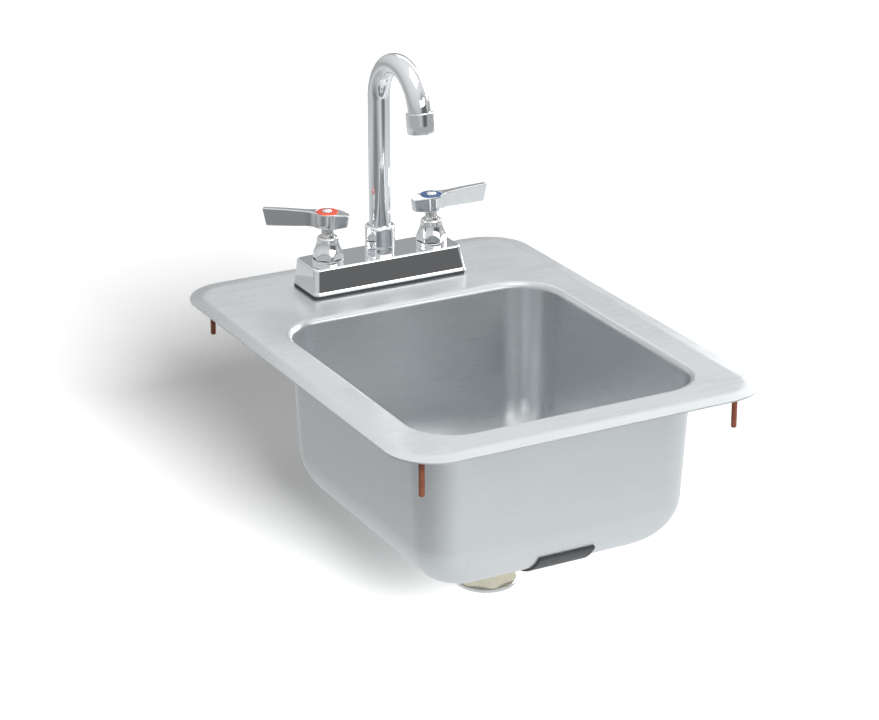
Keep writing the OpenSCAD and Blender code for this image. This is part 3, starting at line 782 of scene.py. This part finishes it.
def basket_knob():
    """Post through the basket's floor, with a rounded knob to lift it by."""
    profile = [(0, -189.5), (1.2, -189.5), (2, -188), (2, -175.2), (4.4, -175.1), (4.4, -173.5), (3, -172.4), (3, -152)]
    profile += [(5, -148.6), (8.6, -146.2), (9.4, -144.4), (8.4, -142.4), (4.5, -141.2), (0, -140.9)]
    sizes = [0, 0.4, 0.4, 0, 0.4, 0.4, 0.4, 2, 2.4, 1.2, 1.2, 1.6, 2, 0]
    return at(lathe(fillet(profile, sizes, steps=6), segments=96), DRAIN)


# ---------- faucet body ----------

BASE_L, BASE_D, BASE_TOP, BASE_FOOT = 149.2, 46.4, 26.9, DECK_Z + 2.4


def base_block(wall, top, foot, corner=4.8):
    """Block whose ends and front lean in over a small lip; the back stands nearly upright."""
    edge = [(0.2, 0.2, 0.2, foot), (0.2, 0.2, 0.2, foot + 1.1), (0.7, 1.0, 0.3, foot + 2.8)]
    edge += [(3.2, 5.5, 0.5, top - 1.0)]
    edge += [(3.8, 6.2, 1.1, top - 0.1), (5.4, 7.8, 2.7, top)]
    rings = []
    for end, front, back, z in fillet(edge, [0, 0.5, 1.4, 1.0, 0.7, 0], steps=5):
        half_y = BASE_D / 2 - (front + back) / 2 - wall * 0.62
        rings.append(ring(BASE_L / 2 - end - wall, half_y, corner, (0, (front - back) / 2), z, 10, 12))
    return stack(rings, capped=True)


def faucet_base():
    """Hollow die casting with three bosses and their bores."""
    cavity = base_block(3.2, BASE_TOP - 3, BASE_FOOT - 0.5)
    bosses = joined(*(rod(13, BASE_FOOT + 0.3, BASE_TOP + 2, (x, 0)) for x in (-HANDLE_X, 0, HANDLE_X)))
    cavity = combine(cavity, bosses, "DIFFERENCE")
    base = combine(base_block(0, BASE_TOP, BASE_FOOT), cavity, "DIFFERENCE")
    step = [(0, 3), (10.25, 3), (10.25, 11.5), (9.6, 11.5), (9.6, 32), (0, 32)]
    bores = [lathe(step, (x, 0), segments=64) for x in (-HANDLE_X, HANDLE_X)]
    bores.append(rod(10.45, 3, 34))
    base = combine(base, joined(*bores), "DIFFERENCE")
    return at(base, SPOUT)


def inlet_shanks():
    """Two supply shanks, threaded below their locknuts."""
    profile = [(7, -48), (9.6, -48), (10.4, -47)] + [(10.4, z) for z in levels(-46.8, -9.9, 0.3)]
    profile += [(10.2, -9.8), (10.2, 11.5), (7, 11.5)]
    one = lathe(profile, looped=True, segments=72, reach=thread(10.4, 1.81, 0.85, -47.2, -9.6))
    return joined(at(one, HOT), at(one, COLD))


def shank_locknuts():
    """Two hexagon nuts that clamp the faucet to the deck."""
    profile = fillet(
        [(10.25, -9.6), (16.2, -9.6), (17, -8.9), (17, -1.9), (16.2, -1.2), (10.25, -1.2)],
        [0.3, 0.4, 0.4, 0.4, 0.4, 0.3], looped=True,
    )
    one = lathe(profile, looped=True, segments=180, reach=hexagon(17.5, 10, 0.3))
    return joined(at(one, HOT), at(one, COLD))


def bonnet_rings():
    """Thin collar under each bonnet."""
    profile = fillet([(9.7, 26.9), (13.5, 26.9), (13.5, 30.2), (9.7, 30.2)], [0.1, 0.35, 0.7, 0.2], looped=True)
    one = lathe(profile, looped=True, segments=128)
    return joined(at(one, HOT), at(one, COLD))


def bonnet(turn):
    """Bell of hexagon stock, turned down to a narrow neck, with room inside for the cartridge."""
    outside = [(9.65, 30.7), (13.2, 30.7), (13.6, 31.1), (13.6, 34.0), (13.3, 35.0), (12.6, 36.4), (11.9, 38.0)]
    outside += [(11.1, 39.8), (10.35, 42.0), (9.75, 44.6), (9.4, 48.4), (9.0, 49.35), (8.3, 49.9), (5.4, 49.9)]
    inside = [(5.4, 48), (7.6, 48), (7.6, 36.6), (9.65, 36.6)]
    sizes = [0, 0.2, 0.3, 1.2, 1.2, 1.4, 1.6, 2, 2, 2, 0.8, 0.6, 0.5, 0.3, 0, 0, 0, 0]
    profile = fillet(outside + inside, sizes, looped=True, steps=5)
    return lathe(profile, looped=True, segments=240, reach=hexagon(13.9, turn, 0.5))


def cartridges():
    """Valve cartridges; the neck between bonnet and lever is splined and carries a collar."""

    def splines(r, z, angles):
        if z > 52.2 and 5.2 < r < 5.5:
            return r + 0.22 * np.cos(16 * angles) - 0.22
        return r

    outside = [(7.4, 12), (9.5, 12), (9.5, 36.4), (7.5, 36.4), (7.5, 47.8), (5.3, 47.8), (5.3, 50.1)]
    outside += [(6.3, 50.1), (5.9, 51.7), (5.3, 51.8)]
    outside += [(5.3, z) for z in levels(52.6, 57.2, 0.5)] + [(4.9, 57.9)]
    inside = [(4.05, 57.9), (4.05, 45.7), (5.0, 45.7), (5.0, 44), (4.05, 44), (4.05, 20.2), (7.4, 20.2)]
    one = lathe(outside + inside, looped=True, segments=128, reach=splines)
    return joined(at(one, HOT), at(one, COLD))


# ---------- levers ----------

LEVER_TOP = [(-19.6, 70.3), (-9, 72.0), (9, 72.5), (20, 72.7), (36, 73.1), (57.2, 73.0)]
LEVER_FOOT = [(-17.8, 59.3), (-10.4, 59.05), (-7.6, 58.65), (7.6, 58.65), (10.6, 59.35), (34, 58.0), (53.9, 57.4)]
LEVER_HALF = [(-19.8, 2.9), (-9, 8.6), (0, 9.4), (9, 6.6), (13, 4.6), (18, 3.6), (36, 3.0), (57.2, 2.6)]
HUB_SIDE = [(58.6, 7.6), (59.2, 8.9), (60.4, 9.6), (62, 9.8), (71.2, 9.95), (72, 9.6), (75, 9.6)]


def smooth_line(x, line, width=1.6):
    """Height of a polyline at x, averaged over a short width, so that its corners are soft."""
    xs, ys = zip(*line)
    return float(np.mean([np.interp(x + d, xs, ys) for d in np.linspace(-width, width, 9)]))


def lever_section(x, soft):
    """Closed outline of the lever at a station; soft is how far the whole outline is drawn in."""
    top, foot = smooth_line(x, LEVER_TOP) - soft, smooth_line(x, LEVER_FOOT) + soft
    blade = smooth_line(x, LEVER_HALF) - soft
    round_top, round_foot = 0.75, 0.7

    def half(z):
        hub = np.interp(z, *zip(*HUB_SIDE))
        hub = math.sqrt(max(hub * hub - x * x, 0.0)) if abs(x) < hub else 0.0
        return float(soft_max(blade, hub, 0.9))

    side = []
    for z in np.linspace(foot + round_foot, top - round_top, 22):
        side.append((half(z), z))
    lower = [(half(foot + round_foot) - round_foot * (1 - math.sin(a)), foot + round_foot * (1 - math.cos(a)))
             for a in np.linspace(0, math.pi / 2, 5)[:-1]]
    upper = [(half(top - round_top) - round_top * (1 - math.cos(a)), top - round_top * (1 - math.sin(a)))
             for a in np.linspace(0, math.pi / 2, 6)[1:]]
    flat_foot = [(lower[0][0] * k / 4, foot) for k in range(1, 4)]
    flat_top = [(upper[-1][0] * (1 - k / 16), top) for k in range(1, 16)]
    line = flat_foot + lower + side + upper + flat_top
    return [(x, y, z) for y, z in line] + [(x, 0.0, top)] + [(x, -y, z) for y, z in reversed(line)] + [(x, 0.0, foot)]


def lever():
    """Lever casting along +X: round hub with a seat for its index ring, deep thin blade, short blunt tail."""
    tail, tip, edge = -19.6, 57.1, 1.1
    ends = [edge * (1 - math.cos(a)) for a in np.linspace(0, math.pi / 2, 6)]
    drawn = [edge * (1 - math.sin(a)) for a in np.linspace(0, math.pi / 2, 6)]
    stations = [(tail + e, s) for e, s in zip(ends, drawn)]
    stations += [(x, 0.0) for x in np.concatenate([np.arange(tail + 1.6, 20, 0.4), np.arange(20, tip - 1.6, 1.5)])]
    stations += [(tip - e, s) for e, s in reversed(list(zip(ends, drawn)))]
    rings = []
    for x, soft in stations:
        lean = 0.217 * np.clip((x - 22) / 30, 0, 1) - 0.16 * np.clip((-x - 12) / 7, 0, 1)
        points = []
        for px, py, pz in lever_section(x, soft):
            if pz > 71.2:
                seat = np.clip((math.hypot(px, py) - 9.5) / 0.7, 0, 1)
                pz = pz if pz < 72 else 72 + (pz - 72) * seat * seat * (3 - 2 * seat)
            points.append((px + lean * (pz - 72.6 if px > 0 else pz - 70.3), py, pz))
        rings.append(points)
    body = stack(rings, capped=True)
    bore = lathe([(0, 55), (4.02, 55), (4.02, 68.1), (2.1, 68.1), (2.1, 76), (0, 76)], segments=64)
    return combine(body, bore, "DIFFERENCE")


def index_ring():
    """Coloured ring in the lever's hub, red for hot and blue for cold."""
    profile = fillet(
        [(4.5, 72), (9.45, 72), (9.45, 72.5), (8.9, 72.7), (5.0, 72.7), (4.5, 72.6)],
        [0, 0.1, 0.2, 0.4, 0.3, 0.1], looped=True,
    )
    return lathe(profile, looped=True, segments=128)


def handle_screw():
    """Pan-head screw with a cross recess."""
    profile = fillet(
        [(0, 61), (2, 61), (2, 72), (4.3, 72), (4.3, 73.1), (3.4, 74.1), (1.8, 74.6), (0, 74.7)],
        [0, 0.3, 0, 0.1, 0.5, 0.8, 0.8, 0], steps=5,
    )
    cross = combine(block((-2.1, -0.4, 73.5), (2.1, 0.4, 76)), block((-0.4, -2.1, 73.5), (0.4, 2.1, 76)), "UNION")
    return combine(lathe(profile, segments=96), at(cross, (0, 0), 20), "DIFFERENCE")


# ---------- spout ----------

TUBE_R, TUBE_T, ARCH_R, ARCH_Z, SWEEP = 9.525, 1.2, 37.6, 167.4, math.radians(171)
SPOUT_HEX_TURN = 56.4


def spout_hub():
    """Two-step hexagon hub that holds the foot of the spout."""
    outside = [(10.4, 9.5), (10.4, 26.9), (13.7, 26.9), (13.7, 29.2), (13.1, 29.35), (13.1, 29.6)]
    outside += [(13.7, 29.75), (13.7, 34.1), (12.8, 34.3), (12.8, 34.9), (12.2, 34.95), (12.2, 46)]
    inside = [(9.6, 46), (9.6, 39.9), (11.35, 39.9), (11.35, 38), (9.6, 38), (9.6, 30.6), (7.4, 30.6), (7.4, 9.5)]
    sizes = [0, 0, 0.3, 0.25, 0.05, 0.05, 0.25, 0.35, 0.1, 0.1, 0, 0.2] + [0] * 8
    reach = hexagon(14.6, SPOUT_HEX_TURN, 0.3)
    return at(lathe(fillet(outside + inside, sizes, looped=True), looped=True, segments=240, reach=reach), SPOUT)


def spout_nut():
    """Coupling nut over the hub's neck."""
    outside = [(12.25, 34.95), (13.3, 34.95), (13.85, 35.5), (13.85, 50.9), (12.6, 52.3), (11.4, 52.9), (9.9, 52.9)]
    inside = [(9.9, 51.1), (12.25, 51.1)]
    sizes = [0, 0.2, 0.3, 0.9, 0.8, 0.5, 0.3, 0, 0]
    reach = hexagon(14.9, SPOUT_HEX_TURN, 0.35)
    profile = fillet(outside + inside, sizes, looped=True, steps=5)
    return at(lathe(profile, looped=True, segments=240, reach=reach), SPOUT)


def spout_tube():
    """Gooseneck: upright riser, bend over to the front, and a short end inside the aerator."""
    x, y = SPOUT
    top = y - ARCH_R
    route = [((x, y, z), (0, 1, 0)) for z in levels(31, ARCH_Z, 6)[:-1]]
    for a in np.linspace(0, SWEEP, 72):
        out = (0, math.cos(a), math.sin(a))
        route.append(((x, top + ARCH_R * out[1], ARCH_Z + ARCH_R * out[2]), out))
    end, out = route[-1]
    along = (0, -math.sin(SWEEP), math.cos(SWEEP))
    route += [(tuple(e + s * d for e, d in zip(end, along)), out) for s in (2, 4, 6)]

    def circle(spot, out, radius, steps=96):
        points = []
        for t in np.arange(steps) * TAU / steps:
            across, up = radius * math.cos(t), radius * math.sin(t)
            points.append((spot[0] + across, spot[1] + up * out[1], spot[2] + up * out[2]))
        return points

    outer = [circle(s, o, TUBE_R) for s, o in route]
    inner = [circle(s, o, TUBE_R - TUBE_T) for s, o in reversed(route)]
    return stack(outer + inner, looped=True)


def at_outlet(part):
    """Moves a part to the gooseneck's end, with -Z running out of the spout."""
    matrix = Matrix.Translation((SPOUT[0], SPOUT[1] - ARCH_R, ARCH_Z))
    matrix = matrix @ Matrix.Rotation(SWEEP - math.pi, 4, "X") @ Matrix.Translation((0, -ARCH_R, 0))
    return placed(part, matrix)


def aerator_housing():
    """Turned shell on the spout's end, open below for its screen."""
    profile = [(TUBE_R + 0.05, 0), (11.3, 0), (11.65, -0.4), (11.65, -12), (11.3, -16.6), (10.6, -17.6), (9.6, -17.8)]
    profile += [(8.3, -17.8), (8.3, -15.6), (8.9, -15.6), (8.9, -6.2), (TUBE_R + 0.05, -6.2)]
    sizes = [0, 0.3, 0.3, 2, 1, 0.7, 0.4, 0.2, 0, 0, 0, 0]
    return at_outlet(lathe(fillet(profile, sizes, looped=True, steps=5), looped=True, segments=128))


# ---------- everything together ----------

CARRIED = {
    "drain_gasket": "putty", "drain_washer": "black_rubber", "friction_ring": "fibre", "slip_washer": "white_nylon",
    "basket_seal": "black_rubber", "faucet_gasket": "black_rubber", "faucet_waterway": "brass",
    "shank_washers": "die_cast", "bonnet_seals": "black_rubber", "stem_seals": "black_rubber",
    "fixed_discs": "ceramic_white", "hot_disc": "ceramic_white", "cold_disc": "ceramic_white",
    "hot_stem": "brass", "cold_stem": "brass", "spout_seal": "black_rubber", "spout_bearing": "white_nylon",
    "spout_retainer": "brass", "aerator_washer": "black_rubber", "aerator_screen": "grey_plastic",
}


def dress_carried_nodes():
    """CAD nodes whose shape is right keep it, and take a finish."""
    for node, finish in CARRIED.items():
        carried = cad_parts[node]
        carried.data.materials.clear()
        carried.data.materials.append(FINISHES[finish])


def build_sink():
    """Every piece of the sink, its studs and its drain."""
    piece("sink_sheet", sink_shell(), "satin_steel", "sink", ["sink_deck", "sink_bowl"])
    piece("threaded_studs", studs(), "coppered_steel", "sink", ["weld_studs"])
    piece("rubber_pad", sound_pad(), "black_rubber", "sink", ["sound_pad"])
    piece("strainer_body", drain_body(), "drawn_steel", "sink", ["drain_body"])
    piece("strainer_locknut", drain_locknut(), "die_cast", "sink", ["drain_locknut"])
    piece("slip_nut", outlet_nut(), "yellow_zinc", "sink", ["outlet_nut"])
    piece("slip_ring", outlet_ring(), "die_cast", "sink", ["outlet_ring"])
    piece("basket", basket_cup(), "drawn_steel", "basket", ["basket_cup"])
    piece("basket_post", basket_knob(), "chrome", "basket", ["basket_knob"])


def build_faucet():
    """Every piece of the faucet; the levers are one shape, turned for each side."""
    piece("base_casting", faucet_base(), "chrome", "sink", ["faucet_base"])
    piece("threaded_shanks", inlet_shanks(), "brass", "sink", ["inlet_shanks"])
    piece("shank_nuts", shank_locknuts(), "die_cast", "sink", ["shank_locknuts"])
    piece("collar_rings", bonnet_rings(), "chrome", "sink", ["bonnet_rings"])
    piece("hot_bell", at(bonnet(20.8), HOT), "chrome", "sink", ["hot_bonnet"])
    piece("cold_bell", at(bonnet(36.5), COLD), "chrome", "sink", ["cold_bonnet"])
    piece("splined_necks", cartridges(), "nickel_brass", "sink", ["valve_cartridges"])
    casting, index, screw = lever(), index_ring(), handle_screw()
    for side, centre, turn, finish in (("hot", HOT, 142, "red_index"), ("cold", COLD, 4, "blue_index")):
        body = side + "_lever"
        piece(body + "_casting", at(casting, centre, turn), "cast_chrome", body, [side + "_handle"])
        piece(side + "_ring", at(index, centre, turn), finish, body, [side + "_index"])
        piece(side + "_cap_screw", at(screw, centre, turn), "chrome", body, [side + "_screw"])
    piece("swivel_hub", spout_hub(), "chrome", "sink", ["spout_hub"])
    piece("swivel_nut", spout_nut(), "chrome", "sink", ["spout_nut"])
    piece("gooseneck", spout_tube(), "chrome", "spout", ["spout_tube"])
    piece("aerator_shell", aerator_housing(), "chrome", "spout", ["aerator_housing"])


def light_scene():
    """One sun for the shadow, a light overhead, and four that mostly the metal mirrors."""
    shadow_light((-0.10, -0.85, 0.42), 6.0, 22)
    softbox("top_light", (0.2, -0.4, 2.2), (0.0, 0.0, 0.0), 2.0, 1.4, 0.9, fills=True)
    softbox("back_light", (1.38, 1.52, 1.5), (0.0, 0.0, 0.0), 2.1, 0.95, 0.9)
    softbox("right_light", (1.9, 0.7, 0.62), (0.0, 0.0, -0.05), 1.2, 0.8, 12.0)
    softbox("front_light", (0.05, -2.4, 1.1), (0.0, 0.0, -0.05), 0.9, 0.6, 2.2)
    softbox("front_right_light", (1.25, -2.1, 1.1), (0.0, 0.0, -0.05), 1.5, 0.6, 3.8)


bpy.context.scene.view_settings.view_transform = "Standard"
add_camera()
add_world()
add_stage(floor_finish())
add_mirrored_floor()
light_scene()
dress_carried_nodes()
build_sink()
build_faucet()
